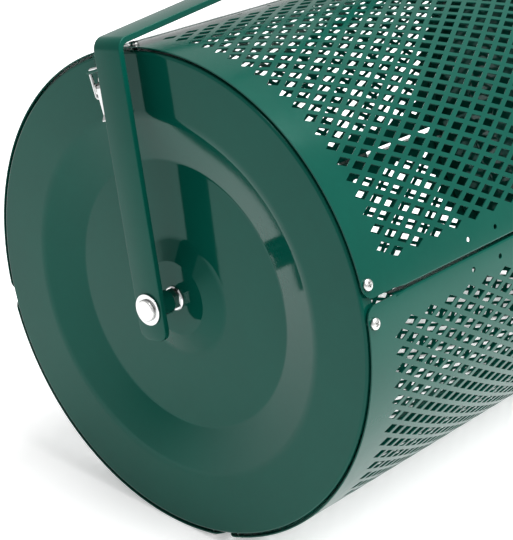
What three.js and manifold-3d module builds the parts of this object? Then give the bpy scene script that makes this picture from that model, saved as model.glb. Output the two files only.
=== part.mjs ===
// Rolling compost spreader: a perforated drum on two stub axles, carried by a flat-bar yoke with a T handle.
// Units are millimetres. +X runs along the drum, +Y to the back, where the handle leans, and +Z up.
// Every piece is first placed about the drum's axis, then the whole object is moved so that its origin is
// the bottom centre of its bounding box.
import * as THREE from 'three';
import { mergeVertices } from 'three/addons/utils/BufferGeometryUtils.js';
import Module from 'manifold-3d';

const wasm = await Module();
wasm.setup();

// ---------------------------------------------------------------- driving dimensions
const DRUM_RADIUS = 200;
const DRUM_LENGTH = 610;
const HALF = DRUM_LENGTH / 2;
const RADIAL_STEPS = 48;

const SHEET = 1.0;
const SHEET_SETBACK = 1.2;
const PANEL_CORNER = 10;
const SEAM_GAP = 2.6;
const FIRST_SEAM_DEG = 164.5;
const LIP_DEPTH = 11;
const LIP_RELIEF = 36;
const LIP_RELIEF_DEPTH = 2.3;

const DISC_SHEET = 1.4;
const BOSS_DEPTH = 5.5;
const BOSS_TOP_RADIUS = 30.2;
const BOSS_FOOT_RADIUS = 48;
const DISH_DEPTH_INNER = 11.45;
const DISH_DEPTH_OUTER = 12.3;
const DISH_RADIUS = 110.3;
const CONE_RADIUS = 147.9;
const DISC_FILLETS = [2.8, 15.8, 7.7, 24.6, 2.4];
const FLANGE_RADIUS = 196.8;
const FLANGE_WIDTH = 11.5;
const DISC_BORE = 9;

const SCREW_INSET = 7;
const SCREW_FROM_EDGE = 13;
const SCREW_HEAD_RADIUS = 5;
const SCREW_SHANK_RADIUS = 2.4;
const SCREW_HOLE_RADIUS = 2.9;

const BOLT_RADIUS = 5;
const BOLT_CLEAR_RADIUS = 5.5;
const NUT_ACROSS_FLATS = 16;

const BAR_WIDTH = 28;
const BAR_THICKNESS = 5;
const ARM_OFFSET = 20.5;
const ARM_BELOW_AXLE = 26;
const ARM_END_CORNER = 9;
const LEAN_DEG = 79.2;
const YOKE_CORNER_RADIUS = 207.8;
const BAR_RISE_DEG = 6.2;
const PAD_HALF = 35;
const ARM_BEND = 7.5;
const PAD_BEND = 20;

const HANDLE_LENGTH = 920;
const TUBE_RADIUS = 12.5;
const TUBE_BORE = 11;
const NECK_RADIUS = 10.6;
const TUBE_JOINT = 560;
const NECK_LENGTH = 60;
const T_BAR_HALF = 210;
const GRIP_RADIUS = 17;
const GRIP_LENGTH = 130;
const SOCKET_RADIUS = 15.5;
const SOCKET_BORE = 13;
const SOCKET_HEIGHT = 60;
const SOCKET_PLATE_THICKNESS = 4;
const SOCKET_BOLT_SPACING = 24;
const CROSS_BOLT_RADIUS = 3;
const CROSS_BOLT_HOLE = 3.4;

const HINGE_FROM_MIDDLE = 160.5;
const HINGE_WIDTH = 46;
const HINGE_LEAF = 1.3;
const HINGE_REACH = 22;
const HINGE_AXIS_RADIUS = 204.2;
const KNUCKLE_RADIUS = 3.4;
const KNUCKLE_BORE = 1.8;
const HINGE_PIN_RADIUS = 1.5;
const RIVET_SPREAD = 17.35;
const RIVET_FROM_SEAM = 11.7;

const LATCH_DEG = 69.7;
const LATCH_PIVOT = { a: 172, n: 6 };
const BAIL_PIVOT = { a: 165, n: 6 };
const BAIL_BAR = { a: 187.6, n: 6.2 };
const BAIL_WIRE = 1.3;
const BAIL_HALF_WIDTH = 11.2;
const HOOK_WIDTH = 14;
const HOOK_SHEET = 1;
const HOOK_STRAP_RADIUS = 197.6;
const HOOK_LIP = { a: 187.3, n: 13.4 };

const GAP = 0.3;
const ROUND = 24;

// ---------------------------------------------------------------- materials
const paint = () => new THREE.MeshStandardMaterial({ color: 0x1f5c4e, roughness: 0.28, metalness: 0.1 });
const zinc = () => new THREE.MeshStandardMaterial({ color: 0xc9c9c9, roughness: 0.25, metalness: 1 });
const foam = () => new THREE.MeshStandardMaterial({ color: 0x1b1b1b, roughness: 0.9, metalness: 0 });
const plastic = () => new THREE.MeshStandardMaterial({ color: 0x151515, roughness: 0.5, metalness: 0 });

// ---------------------------------------------------------------- directions and frames
const rad = THREE.MathUtils.degToRad;
const X_AXIS = new THREE.Vector3(1, 0, 0);
const Y_AXIS = new THREE.Vector3(0, 1, 0);
const UP_ARM = new THREE.Vector3(0, Math.cos(rad(LEAN_DEG)), Math.sin(rad(LEAN_DEG)));
const ACROSS_ARM = new THREE.Vector3().crossVectors(UP_ARM, X_AXIS);
const radial = (angle) => new THREE.Vector3(0, Math.cos(angle), Math.sin(angle));
const tangent = (angle) => new THREE.Vector3(0, -Math.sin(angle), Math.cos(angle));

// local x along the drum, local y up the arms, local z to the front
const YOKE_FRAME = new THREE.Matrix4().makeBasis(X_AXIS, UP_ARM, ACROSS_ARM.clone().negate());
// local x and y in the drum's cross section, local z along the drum
const SECTION_FRAME = new THREE.Matrix4().makeBasis(Y_AXIS, new THREE.Vector3(0, 0, 1), X_AXIS);
// local x out along the radius, local y away from the left disc's face, local z round the rim
const LATCH_ANGLE = rad(LATCH_DEG);
const LATCH_FRAME = new THREE.Matrix4()
  .makeBasis(radial(LATCH_ANGLE), X_AXIS.clone().negate(), tangent(LATCH_ANGLE))
  .setPosition(-HALF, 0, 0);

// ---------------------------------------------------------------- geometry helpers
function signedVolume(geometry) {
  const at = geometry.getAttribute('position');
  const order = geometry.index ? geometry.index.array : [...Array(at.count).keys()];
  const corner = [0, 1, 2].map(() => new THREE.Vector3());
  let volume = 0;
  for (let i = 0; i < order.length; i += 3) {
    corner.forEach((point, k) => point.fromBufferAttribute(at, order[i + k]));
    volume += corner[0].dot(corner[1].clone().cross(corner[2])) / 6;
  }
  return volume;
}

// merges shared vertices and turns every face outwards
function closed(geometry) {
  geometry.deleteAttribute('normal');
  geometry.deleteAttribute('uv');
  const merged = mergeVertices(geometry, 1e-4);
  const index = merged.index.array;
  if (signedVolume(merged) < 0) {
    for (let i = 0; i < index.length; i += 3) {
      [index[i], index[i + 1]] = [index[i + 1], index[i]];
    }
  }
  return merged;
}

function solid(geometry) {
  const tidy = closed(geometry);
  const mesh = new wasm.Mesh({
    numProp: 3,
    vertProperties: new Float32Array(tidy.getAttribute('position').array),
    triVerts: new Uint32Array(tidy.index.array),
  });
  return new wasm.Manifold(mesh);
}

function surface(body) {
  const mesh = body.getMesh();
  const geometry = new THREE.BufferGeometry();
  geometry.setAttribute('position', new THREE.BufferAttribute(new Float32Array(mesh.vertProperties), 3));
  geometry.setIndex([...mesh.triVerts]);
  return geometry;
}

const join = (...geometries) => surface(geometries.map(solid).reduce((all, next) => all.add(next)));
const cut = (geometry, ...tools) =>
  surface(tools.map(solid).reduce((left, tool) => left.subtract(tool), solid(geometry)));

function mirrored(geometry) {
  const copy = geometry.clone().scale(-1, 1, 1);
  return closed(copy);
}

function rod(radius, from, to, sides = ROUND) {
  const along = new THREE.Vector3().subVectors(to, from);
  const geometry = new THREE.CylinderGeometry(radius, radius, along.length(), sides);
  geometry.applyQuaternion(new THREE.Quaternion().setFromUnitVectors(Y_AXIS, along.clone().normalize()));
  const middle = from.clone().add(to).multiplyScalar(0.5);
  return geometry.translate(middle.x, middle.y, middle.z);
}

function block(x0, x1, y0, y1, z0, z1) {
  return new THREE.BoxGeometry(x1 - x0, y1 - y0, z1 - z0)
    .translate((x0 + x1) / 2, (y0 + y1) / 2, (z0 + z1) / 2);
}

// a turned piece: profile points are [distance along the axis, radius]
function turned(profile, origin, direction, sides = ROUND) {
  const points = profile.map(([along, radius]) => new THREE.Vector2(radius, along));
  const geometry = new THREE.LatheGeometry(points, sides);
  geometry.applyQuaternion(new THREE.Quaternion().setFromUnitVectors(Y_AXIS, direction));
  return geometry.translate(origin.x, origin.y, origin.z);
}

const ring = (from, to, inner, outer) =>
  [[from, inner], [from, outer], [to, outer], [to, inner], [from, inner]];

// centre line through the corners with each inner corner rounded; returns points with their left normals
function bentLine(corners, radii, steps = 4) {
  const line = [];
  const heading = (a, b) => new THREE.Vector2().subVectors(b, a).normalize();
  const left = (d) => new THREE.Vector2(-d.y, d.x);
  const first = heading(corners[0], corners[1]);
  line.push({ point: corners[0].clone(), normal: left(first) });
  for (let i = 1; i < corners.length - 1; i += 1) {
    const before = heading(corners[i - 1], corners[i]);
    const after = heading(corners[i], corners[i + 1]);
    const turn = Math.atan2(before.cross(after), before.dot(after));
    const setback = radii[i - 1] * Math.tan(Math.abs(turn) / 2);
    const side = Math.sign(turn);
    const start = corners[i].clone().addScaledVector(before, -setback);
    const centre = start.clone().addScaledVector(left(before), side * radii[i - 1]);
    for (let k = 0; k <= steps; k += 1) {
      const normal = left(before).rotateAround(new THREE.Vector2(), (turn * k) / steps);
      line.push({ point: centre.clone().addScaledVector(normal, -side * radii[i - 1]), normal });
    }
  }
  const last = heading(corners.at(-2), corners.at(-1));
  line.push({ point: corners.at(-1).clone(), normal: left(last) });
  return line;
}

// closed outline of a strip that lies between two offsets from a bent line
function stripOutline(line, offsetA, offsetB) {
  const side = (offset) => line.map(({ point, normal }) => point.clone().addScaledVector(normal, offset));
  return [...side(offsetA), ...side(offsetB).reverse()];
}

function extruded(outline, depth, frame, start = 0) {
  const geometry = new THREE.ExtrudeGeometry(new THREE.Shape(outline), {
    depth,
    bevelEnabled: false,
    curveSegments: 8,
  });
  return geometry.translate(0, 0, start).applyMatrix4(frame);
}

// a curved plate round the drum's axis
function curvedPlate(inner, outer, fromAngle, toAngle, x0, x1) {
  const steps = Math.max(2, Math.ceil(((toAngle - fromAngle) / (2 * Math.PI)) * RADIAL_STEPS));
  const arc = (radius) =>
    [...Array(steps + 1).keys()].map((k) => {
      const angle = fromAngle + ((toAngle - fromAngle) * k) / steps;
      return new THREE.Vector2(radius * Math.cos(angle), radius * Math.sin(angle));
    });
  return extruded([...arc(outer), ...arc(inner).reverse()], x1 - x0, SECTION_FRAME, x0);
}

const points2 = (list) => list.map(([x, y]) => new THREE.Vector2(x, y));

// ---------------------------------------------------------------- the object's tree
const drumFrame = new THREE.Group();
function add(name, geometry, material) {
  const mesh = new THREE.Mesh(closed(geometry), material);
  mesh.name = name;
  drumFrame.add(mesh);
}
function addPair(name, leftGeometry, material) {
  add(`${name}_left`, leftGeometry, material());
  add(`${name}_right`, mirrored(leftGeometry), material());
}

// ---------------------------------------------------------------- seams and screws
const seamAngle = (index) => rad(FIRST_SEAM_DEG + 90 * index);
const arcAngle = (length) => length / DRUM_RADIUS;
const SEAM = { front: seamAngle(0), bottom: seamAngle(1), hinge: seamAngle(2), top: seamAngle(3) };
const SCREW_ARC = SEAM_GAP / 2 + SCREW_FROM_EDGE;

function screwAngles(fromSeam, toSeam) {
  return [fromSeam + arcAngle(SCREW_ARC), toSeam - arcAngle(SCREW_ARC)];
}
const FIXED_PANELS = [
  { name: 'front_upper', from: SEAM.front - Math.PI / 2, to: SEAM.front },
  { name: 'front_lower', from: SEAM.front, to: SEAM.bottom },
  { name: 'rear_lower', from: SEAM.bottom, to: SEAM.hinge },
];
const SCREW_X = HALF - SCREW_INSET;

function radialRod(radius, x, angle, fromRadius, toRadius, sides = 16) {
  const at = (r) => radial(angle).multiplyScalar(r).setX(x);
  return rod(radius, at(fromRadius), at(toRadius), sides);
}

// ---------------------------------------------------------------- end discs
function endDisc() {
  const corners = points2([
    [BOSS_DEPTH, DISC_BORE],
    [BOSS_DEPTH, BOSS_TOP_RADIUS],
    [DISH_DEPTH_INNER, BOSS_FOOT_RADIUS],
    [DISH_DEPTH_OUTER, DISH_RADIUS],
    [0, CONE_RADIUS],
    [0, FLANGE_RADIUS],
    [FLANGE_WIDTH, FLANGE_RADIUS],
  ]);
  const line = bentLine(corners, DISC_FILLETS, 2);
  const outline = stripOutline(line, 0, -DISC_SHEET).map((p) => [p.x, p.y]);
  const pan = turned([...outline, outline[0]], new THREE.Vector3(-HALF, 0, 0), X_AXIS, RADIAL_STEPS);
  const angles = FIXED_PANELS.flatMap((panel) => screwAngles(panel.from, panel.to));
  const flangeInside = FLANGE_RADIUS - DISC_SHEET;
  const weldNuts = angles.map((a) => radialRod(4.6, -SCREW_X, a, flangeInside - 5, flangeInside + 0.5, 6));
  const holes = angles.map((a) => radialRod(SCREW_HOLE_RADIUS, -SCREW_X, a, 185, 205, 12));
  return cut(join(pan, ...weldNuts), ...holes);
}
addPair('end_disc', endDisc(), paint);

// ---------------------------------------------------------------- quarter panels
function cornerCutter(x, edgeAngle, xSide, aroundSide) {
  // local x along the drum, local y round the drum, both pointing out of the panel's corner
  const r = PANEL_CORNER;
  const outline = [new THREE.Vector2(r + 1, -0.01), new THREE.Vector2(r + 1, r + 1), new THREE.Vector2(0, r + 1)];
  for (let k = 0; k <= 5; k += 1) {
    const angle = Math.PI / 2 - (k / 5) * (Math.PI / 2);
    outline.push(new THREE.Vector2(r * Math.cos(angle), r * Math.sin(angle)));
  }
  const centreAngle = edgeAngle - aroundSide * arcAngle(r);
  const frame = new THREE.Matrix4()
    .makeBasis(
      X_AXIS.clone().multiplyScalar(xSide),
      tangent(centreAngle).multiplyScalar(aroundSide),
      radial(centreAngle).multiplyScalar(xSide * aroundSide),
    )
    .setPosition(radial(centreAngle).multiplyScalar(DRUM_RADIUS).setX(x - xSide * r));
  return extruded(outline, 12, frame, -6);
}

function quarterPanel(fromSeam, toSeam, hasScrews) {
  const start = fromSeam + arcAngle(SEAM_GAP / 2);
  const end = toSeam - arcAngle(SEAM_GAP / 2);
  const reach = HALF - SHEET_SETBACK;
  const shell = curvedPlate(DRUM_RADIUS - SHEET, DRUM_RADIUS, start, end, -reach, reach);
  const lipHalf = HALF - LIP_RELIEF;
  const lipTop = DRUM_RADIUS - SHEET / 2;
  const lastLip = [end, -SHEET, 0];
  // the door has no lip on its hinged edge, where one would swing into the yoke
  const edges = hasScrews ? [[start, 0, SHEET], lastLip] : [lastLip];
  const lips = edges.map(([angle, from, to]) =>
    block(-lipHalf, lipHalf, from, to, DRUM_RADIUS - LIP_DEPTH, lipTop)
      .applyMatrix4(new THREE.Matrix4().makeBasis(X_AXIS, tangent(angle), radial(angle))));
  const reliefStart = end - arcAngle(LIP_RELIEF_DEPTH);
  const tools = [];
  for (const side of [-1, 1]) {
    const [x0, x1] = side < 0 ? [-HALF, -lipHalf] : [lipHalf, HALF];
    tools.push(curvedPlate(DRUM_RADIUS - 3, DRUM_RADIUS + 3, reliefStart, end + 0.01, x0, x1));
    tools.push(cornerCutter(side * reach, start, side, -1));
    tools.push(cornerCutter(side * reach, reliefStart, side, 1));
    const angles = hasScrews ? screwAngles(fromSeam, toSeam) : [];
    angles.forEach((a) => tools.push(radialRod(SCREW_HOLE_RADIUS, side * SCREW_X, a, 190, 210, 12)));
  }
  return cut(join(shell, ...lips), ...tools);
}
for (const panel of FIXED_PANELS) {
  add(`${panel.name}_panel`, quarterPanel(panel.from, panel.to, true), paint());
}
add('door_panel', quarterPanel(SEAM.hinge, SEAM.top, false), paint());

// ---------------------------------------------------------------- panel screws
function panScrew(x, angle) {
  const seat = DRUM_RADIUS + GAP;
  const profile = [
    [seat - 10, 0],
    [seat - 10, SCREW_SHANK_RADIUS],
    [seat, SCREW_SHANK_RADIUS],
    [seat, SCREW_HEAD_RADIUS],
    [seat + 1.2, SCREW_HEAD_RADIUS],
    [seat + 2.3, SCREW_HEAD_RADIUS * 0.7],
    [seat + 2.6, 0],
  ];
  return turned(profile, new THREE.Vector3(x, 0, 0), radial(angle), 16);
}
for (const panel of FIXED_PANELS) {
  screwAngles(panel.from, panel.to).forEach((angle, end) => {
    addPair(`screw_${panel.name}_${end + 1}`, panScrew(-SCREW_X, angle), zinc);
  });
}

// ---------------------------------------------------------------- stub axles
const leftFace = new THREE.Vector3(-HALF, 0, 0);
const hexRadius = NUT_ACROSS_FLATS / Math.sqrt(3);
const alongAxle = (distance) => new THREE.Vector3(-HALF + distance, 0, 0);
const armOuter = -(ARM_OFFSET + BAR_THICKNESS / 2);
const armInner = -(ARM_OFFSET - BAR_THICKNESS / 2);

const washerOuter = armOuter - GAP - 1.6;
const boltSeat = washerOuter - GAP;
const boltEnd = BOSS_DEPTH + 19;
const boltProfile = [
  [boltSeat - 2.4, 0],
  [boltSeat - 2.4, 8.1],
  [boltSeat - 1.7, 8.8],
  [boltSeat, 8.8],
  [boltSeat, BOLT_RADIUS],
  [boltEnd, BOLT_RADIUS],
  [boltEnd, 0],
];
addPair('axle_bolt', turned(boltProfile, leftFace, X_AXIS), zinc);
const washerProfile = ring(washerOuter, washerOuter + 1.6, BOLT_CLEAR_RADIUS, 12.7);
addPair('axle_washer', turned(washerProfile, leftFace, X_AXIS), zinc);
const nutSeat = BOSS_DEPTH - GAP;
const spacerEnd = nutSeat - 8.4;
addPair('axle_spacer', turned(ring(armInner + GAP, spacerEnd, BOLT_CLEAR_RADIUS, 9.5), leftFace, X_AXIS), paint);

function flangeNut(from, flangeFrom, to) {
  const hex = rod(hexRadius, alongAxle(from), alongAxle(flangeFrom + 0.5), 6);
  const flange = rod(10, alongAxle(flangeFrom), alongAxle(to));
  return cut(join(hex, flange), rod(BOLT_CLEAR_RADIUS, alongAxle(from - 2), alongAxle(to + 2)));
}
addPair('flange_nut', flangeNut(spacerEnd + GAP, nutSeat - 1.8, nutSeat), zinc);
const bushStart = BOSS_DEPTH + GAP;
const bushFlange = BOSS_DEPTH + DISC_SHEET + GAP;
const bushEnd = BOSS_DEPTH + 8;
const bushProfile = [
  [bushStart, BOLT_CLEAR_RADIUS],
  [bushStart, DISC_BORE - 0.4],
  [bushFlange, DISC_BORE - 0.4],
  [bushFlange, 13],
  [bushFlange + 1.5, 13],
  [bushFlange + 1.5, DISC_BORE - 0.4],
  [bushEnd, DISC_BORE - 0.4],
  [bushEnd, BOLT_CLEAR_RADIUS],
  [bushStart, BOLT_CLEAR_RADIUS],
];
addPair('hub_bush', turned(bushProfile, leftFace, X_AXIS), zinc);
const lockNut = cut(
  rod(hexRadius, alongAxle(bushEnd + 0.4), alongAxle(bushEnd + 9), 6),
  rod(BOLT_CLEAR_RADIUS, alongAxle(bushEnd - 1), alongAxle(bushEnd + 10)),
);
addPair('lock_nut', lockNut, zinc);

// ---------------------------------------------------------------- yoke
const armX = HALF + ARM_OFFSET;
const padHeight = YOKE_CORNER_RADIUS + (armX - PAD_HALF) * Math.tan(rad(BAR_RISE_DEG));
function yoke() {
  const corners = points2([
    [-armX, -ARM_BELOW_AXLE],
    [-armX, YOKE_CORNER_RADIUS],
    [-PAD_HALF, padHeight],
    [PAD_HALF, padHeight],
    [armX, YOKE_CORNER_RADIUS],
    [armX, -ARM_BELOW_AXLE],
  ]);
  const line = bentLine(corners, [ARM_BEND, PAD_BEND, PAD_BEND, ARM_BEND], 5);
  const halfSheet = BAR_THICKNESS / 2;
  const bar = extruded(stripOutline(line, halfSheet, -halfSheet), BAR_WIDTH, YOKE_FRAME, -BAR_WIDTH / 2);
  const edge = BAR_WIDTH / 2;
  const end = new THREE.Shape();
  end.moveTo(-edge - 1, -ARM_BELOW_AXLE - 1);
  end.lineTo(edge + 1, -ARM_BELOW_AXLE - 1);
  end.lineTo(edge + 1, -ARM_BELOW_AXLE + ARM_END_CORNER);
  end.lineTo(edge, -ARM_BELOW_AXLE + ARM_END_CORNER);
  end.absarc(edge - ARM_END_CORNER, -ARM_BELOW_AXLE + ARM_END_CORNER, ARM_END_CORNER, 0, -Math.PI / 2, true);
  end.absarc(ARM_END_CORNER - edge, -ARM_BELOW_AXLE + ARM_END_CORNER, ARM_END_CORNER, -Math.PI / 2, -Math.PI, true);
  end.lineTo(-edge - 1, -ARM_BELOW_AXLE + ARM_END_CORNER);
  const endFrame = new THREE.Matrix4().makeBasis(ACROSS_ARM, UP_ARM, X_AXIS);
  const rounding = extruded(end.getPoints(6), 2 * armX + 20, endFrame, -armX - 10);
  const axleHole = rod(BOLT_CLEAR_RADIUS, alongAxle(-60), new THREE.Vector3(HALF + 60, 0, 0));
  const padHoles = [-1, 1].map((side) => yokeRod(4.4, side * SOCKET_BOLT_SPACING, padHeight - 10, padHeight + 10));
  return cut(bar, rounding, axleHole, ...padHoles);
}
function yokeRod(radius, x, fromHeight, toHeight, sides = 16) {
  const at = (height) => UP_ARM.clone().multiplyScalar(height).setX(x);
  return rod(radius, at(fromHeight), at(toHeight), sides);
}
add('yoke', yoke(), paint());

// ---------------------------------------------------------------- handle
const plateBase = padHeight + BAR_THICKNESS / 2 + GAP;
const plateTop = plateBase + SOCKET_PLATE_THICKNESS;
const crossBoltLower = plateTop + 34;
const crossBoltUpper = TUBE_JOINT + NECK_LENGTH / 2;
const handleOrigin = new THREE.Vector3(0, 0, 0);
const acrossAt = (height, distance) =>
  UP_ARM.clone().multiplyScalar(height).addScaledVector(ACROSS_ARM, distance);
const crossHole = (height) => rod(CROSS_BOLT_HOLE, acrossAt(height, -30), acrossAt(height, 30), 16);

function handleSocket() {
  const plate = block(-PAD_HALF + 2, PAD_HALF - 2, plateBase, plateTop, -BAR_WIDTH / 2, BAR_WIDTH / 2);
  plate.applyMatrix4(YOKE_FRAME);
  const tube = yokeRod(SOCKET_RADIUS, 0, plateTop - 1, plateTop + SOCKET_HEIGHT, ROUND);
  const nuts = [-1, 1].map((side) => yokeRod(7, side * SOCKET_BOLT_SPACING, plateTop - 1, plateTop + 6, 6));
  const bore = yokeRod(SOCKET_BORE, 0, plateTop, plateTop + SOCKET_HEIGHT + 5, ROUND);
  const boltHoles = [-1, 1].map((side) => yokeRod(4.4, side * SOCKET_BOLT_SPACING, plateBase - 5, plateTop + 10));
  return cut(join(plate, tube, ...nuts), bore, ...boltHoles, crossHole(crossBoltLower));
}
add('handle_socket', handleSocket(), paint());

const socketBoltSeat = padHeight - BAR_THICKNESS / 2 - GAP;
const socketBoltProfile = [
  [socketBoltSeat - 4, 0],
  [socketBoltSeat - 3.4, 5],
  [socketBoltSeat - 1, 8],
  [socketBoltSeat, 8],
  [socketBoltSeat, 4],
  [plateTop + 7.5, 4],
  [plateTop + 7.5, 0],
];
const boltOrigin = new THREE.Vector3(-SOCKET_BOLT_SPACING, 0, 0);
addPair('socket_bolt', turned(socketBoltProfile, boltOrigin, UP_ARM, 16), zinc);

const tubeStart = plateTop + 0.5;
const lowerProfile = [
  [tubeStart, TUBE_BORE],
  [tubeStart, TUBE_RADIUS],
  [TUBE_JOINT - 3, TUBE_RADIUS],
  [TUBE_JOINT, NECK_RADIUS],
  [TUBE_JOINT + NECK_LENGTH, NECK_RADIUS],
  [TUBE_JOINT + NECK_LENGTH, NECK_RADIUS - 1.5],
  [TUBE_JOINT, NECK_RADIUS - 1.5],
  [TUBE_JOINT - 5, TUBE_BORE],
  [tubeStart, TUBE_BORE],
];
const lowerTube = turned(lowerProfile, handleOrigin, UP_ARM);
add('handle_lower_tube', cut(lowerTube, crossHole(crossBoltLower), crossHole(crossBoltUpper)), paint());

function handleTop() {
  const at = (x) => UP_ARM.clone().multiplyScalar(HANDLE_LENGTH).setX(x);
  const upright = yokeRod(TUBE_RADIUS, 0, TUBE_JOINT + GAP, HANDLE_LENGTH, ROUND);
  const bar = rod(TUBE_RADIUS, at(-T_BAR_HALF), at(T_BAR_HALF));
  const uprightBore = yokeRod(TUBE_BORE, 0, TUBE_JOINT - 5, HANDLE_LENGTH, ROUND);
  const barBore = rod(TUBE_BORE, at(-T_BAR_HALF - 5), at(T_BAR_HALF + 5));
  return cut(join(upright, bar), uprightBore, barBore, crossHole(crossBoltUpper));
}
add('handle_top', handleTop(), paint());

const leftBarEnd = UP_ARM.clone().multiplyScalar(HANDLE_LENGTH).setX(-T_BAR_HALF);
const gripProfile = ring(0, GRIP_LENGTH, TUBE_RADIUS + GAP, GRIP_RADIUS);
addPair('foam_grip', turned(gripProfile, leftBarEnd, X_AXIS), foam);
const plugProfile = [
  [-GAP - 3, 0],
  [-GAP - 3, 10],
  [-GAP - 2, TUBE_RADIUS],
  [-GAP, TUBE_RADIUS],
  [-GAP, TUBE_BORE - 0.4],
  [12, TUBE_BORE - 0.4],
  [12, 0],
];
addPair('end_plug', turned(plugProfile, leftBarEnd, X_AXIS), plastic);

function crossBolt(height, reach) {
  const head = rod(5.8, acrossAt(height, -reach - 4), acrossAt(height, -reach), 6);
  return join(head, rod(CROSS_BOLT_RADIUS, acrossAt(height, -reach - 1), acrossAt(height, reach + 9), 16));
}
function wingNut(height, reach) {
  const hub = rod(6, acrossAt(height, reach), acrossAt(height, reach + 6), 16);
  const half = [[0, 1], [5, 1], [15, 4], [15, 11], [11, 12], [4, 6]];
  const outline = [...half, ...half.slice(1).reverse().map(([x, y]) => [-x, y])];
  const wingFrame = new THREE.Matrix4()
    .makeBasis(X_AXIS, ACROSS_ARM, new THREE.Vector3().crossVectors(X_AXIS, ACROSS_ARM));
  const wing = extruded(points2(outline), 2.4, wingFrame, -1.2);
  const centre = acrossAt(height, reach);
  wing.translate(centre.x, centre.y, centre.z);
  return cut(join(hub, wing), rod(CROSS_BOLT_HOLE, acrossAt(height, reach - 2), acrossAt(height, reach + 16), 16));
}
for (const [place, height, radius] of [
  ['lower', crossBoltLower, SOCKET_RADIUS],
  ['upper', crossBoltUpper, TUBE_RADIUS],
]) {
  add(`cross_bolt_${place}`, crossBolt(height, radius + GAP), zinc());
  add(`wing_nut_${place}`, wingNut(height, radius + GAP), zinc());
}

// ---------------------------------------------------------------- door hinges
const hingePoint = (x) => radial(SEAM.hinge).multiplyScalar(HINGE_AXIS_RADIUS).setX(x);
const leafBase = DRUM_RADIUS + GAP;
function hingeLeaf(x, side, knuckles) {
  // side is +1 for the leaf on the door and -1 for the leaf on the fixed panel
  const span = (from, to, x0, x1) => {
    const angles = [from, to].map((length) => SEAM.hinge + side * arcAngle(length)).sort((a, b) => a - b);
    return curvedPlate(leafBase, leafBase + HINGE_LEAF, angles[0], angles[1], x0, x1);
  };
  const pieces = [span(3.9, HINGE_REACH, x - HINGE_WIDTH / 2, x + HINGE_WIDTH / 2)];
  const bores = [];
  for (const [from, to] of knuckles) {
    pieces.push(rod(KNUCKLE_RADIUS, hingePoint(x + from), hingePoint(x + to), 16));
    pieces.push(span(0.6, 4.6, x + from, x + to));
    bores.push(rod(KNUCKLE_BORE, hingePoint(x + from - 1), hingePoint(x + to + 1), 16));
  }
  const rivetAngle = SEAM.hinge + side * arcAngle(RIVET_FROM_SEAM);
  for (const offset of [-RIVET_SPREAD, RIVET_SPREAD]) {
    pieces.push(radialRod(3.8, x + offset, rivetAngle, leafBase + 0.6, leafBase + HINGE_LEAF + 1.7, 8));
  }
  return cut(join(...pieces), ...bores);
}
const hingePin = rod(HINGE_PIN_RADIUS, hingePoint(-HINGE_FROM_MIDDLE - 24), hingePoint(-HINGE_FROM_MIDDLE + 24), 12);
addPair('hinge_leaf_drum', hingeLeaf(-HINGE_FROM_MIDDLE, -1, [[-23, -8], [8, 23]]), zinc);
addPair('hinge_leaf_door', hingeLeaf(-HINGE_FROM_MIDDLE, 1, [[-7.6, 7.6]]), zinc);
addPair('hinge_pin', hingePin, zinc);

// ---------------------------------------------------------------- side latches
const latchPiece = (geometry) => geometry.applyMatrix4(LATCH_FRAME);
const latchRod = (radius, a, n, fromB, toB, sides = 12) =>
  rod(radius, new THREE.Vector3(a, n, fromB), new THREE.Vector3(a, n, toB), sides);

function doorHook() {
  const line = bentLine(
    points2([
      [HOOK_STRAP_RADIUS, -20],
      [HOOK_STRAP_RADIUS, 2.6],
      [185, 2.6],
      [185, HOOK_LIP.n],
      [HOOK_LIP.a, HOOK_LIP.n],
    ]),
    [2, 2, 1.5],
    3,
  );
  const outline = stripOutline(line, HOOK_SHEET / 2, -HOOK_SHEET / 2);
  return extruded(outline, HOOK_WIDTH, LATCH_FRAME, -HOOK_WIDTH / 2);
}
addPair('latch_hook', doorHook(), paint);

function latchBase() {
  const plate = block(152, 181, GAP + 0.1, 2, -9.5, 9.5);
  const ears = [-1, 1].map((side) => {
    const [from, to] = side < 0 ? [-8.1, -6.5] : [6.5, 8.1];
    return block(LATCH_PIVOT.a - 3.8, LATCH_PIVOT.a + 3.8, 1.5, LATCH_PIVOT.n + 3, from, to);
  });
  const hole = latchRod(1.9, LATCH_PIVOT.a, LATCH_PIVOT.n, -12, 12);
  return latchPiece(cut(join(plate, ...ears), hole));
}
addPair('latch_base', latchBase(), zinc);

function latchLever() {
  const outline = points2([
    [175, 4.6],
    [175, 7.8],
    [172.5, 9.2],
    [152, 9.2],
    [147.8, 12],
    [146.6, 10.6],
    [151.4, 7.2],
    [161.5, 7.2],
    [162.4, 3.4],
    [165, 2.8],
    [173, 2.8],
  ]);
  const body = extruded(outline, 12, new THREE.Matrix4(), -6);
  const pivot = latchRod(1.5, LATCH_PIVOT.a, LATCH_PIVOT.n, -9, 9);
  const bailHole = latchRod(1.65, BAIL_PIVOT.a, BAIL_PIVOT.n, -8, 8);
  return latchPiece(join(cut(body, bailHole), pivot));
}
addPair('latch_lever', latchLever(), zinc);

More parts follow.
